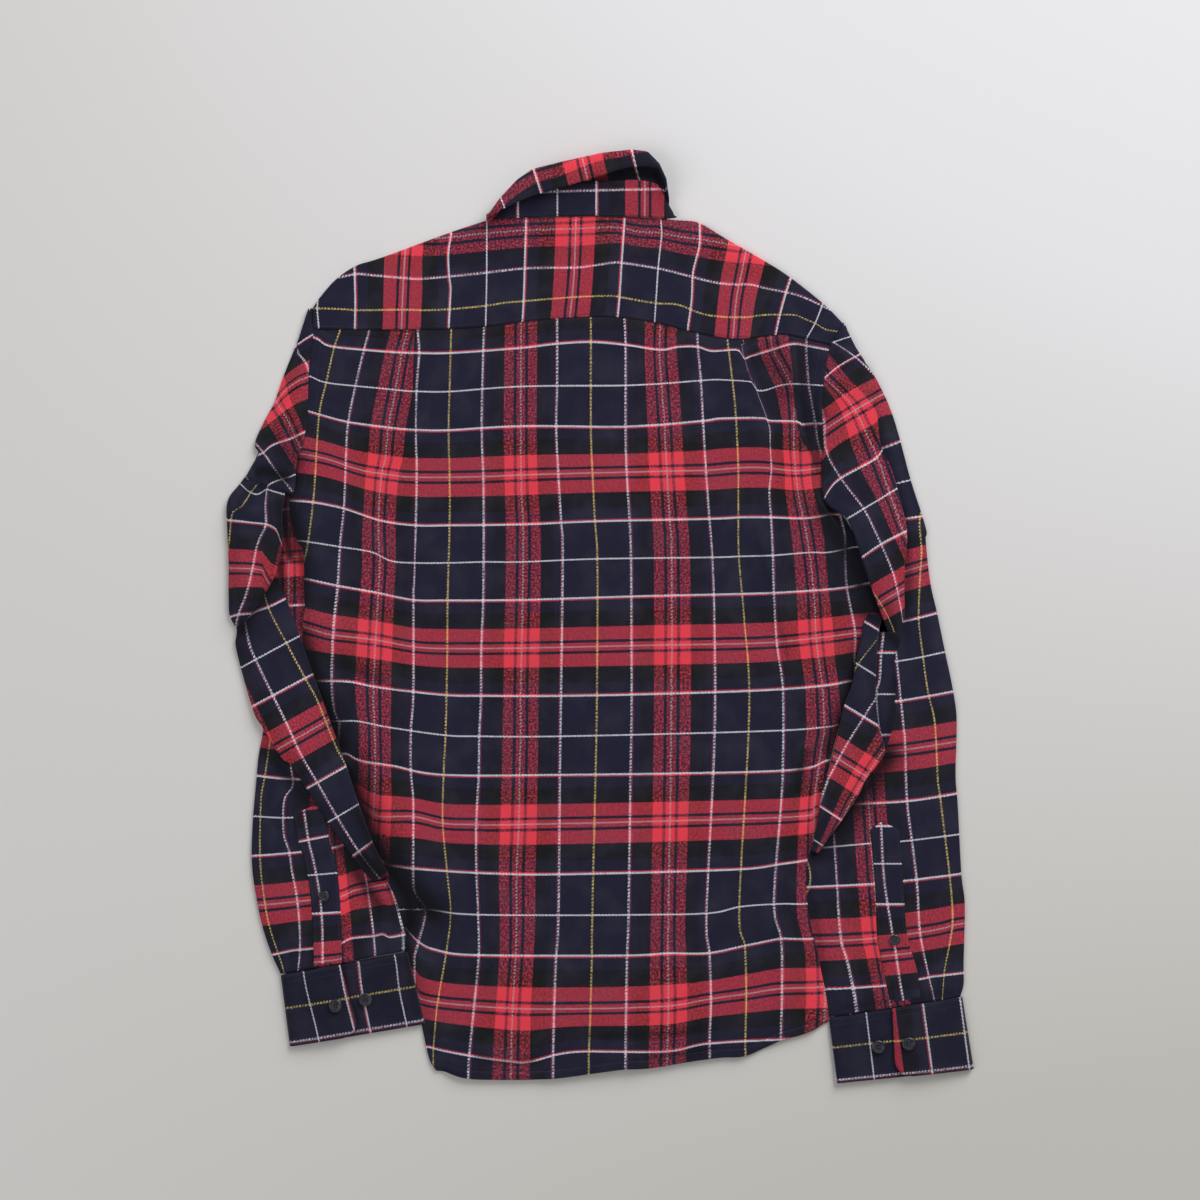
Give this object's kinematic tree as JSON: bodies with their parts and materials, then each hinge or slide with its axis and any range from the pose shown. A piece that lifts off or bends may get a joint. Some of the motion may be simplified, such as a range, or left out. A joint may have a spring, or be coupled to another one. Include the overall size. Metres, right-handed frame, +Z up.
{
  "type": "flannel shirt",
  "caption": "Long-sleeved tartan flannel shirt laid flat with its back up, with yoke, back pleats, band collar and leaf, buttoned cuffs and sleeve plackets.",
  "frame": {"origin": "on the floor, under the middle of the shirt's overall box", "axes": "+X to the wearer's right, +Y towards the collar, +Z up, out of the shirt's back; the shirt lies face down"},
  "size_m": [0.6488, 0.8116, 0.0221],
  "materials": {
    "flannel": "brushed twill, red, navy and black tartan with white and yellow lines",
    "buttons": "dark grey, polished"
  },
  "bodies": {
    "root": {"back": "flannel", "yoke": "flannel", "front_left": "flannel", "front_right": "flannel", "front_placket": "flannel", "collar_stand": "flannel", "collar_leaf": "flannel", "sleeve_left": "flannel", "sleeve_right": "flannel", "sleeve_placket_left": "flannel", "sleeve_placket_right": "flannel", "cuff_left": "flannel", "cuff_right": "flannel", "cuff_button_left_1": "buttons", "cuff_button_left_2": "buttons", "cuff_button_right_1": "buttons", "cuff_button_right_2": "buttons", "placket_button_left": "buttons", "placket_button_right": "buttons", "front_button_1": "buttons", "front_button_2": "buttons", "front_button_3": "buttons", "front_button_4": "buttons", "front_button_5": "buttons", "front_button_6": "buttons", "front_button_7": "buttons"}
  },
  "joints": []
}
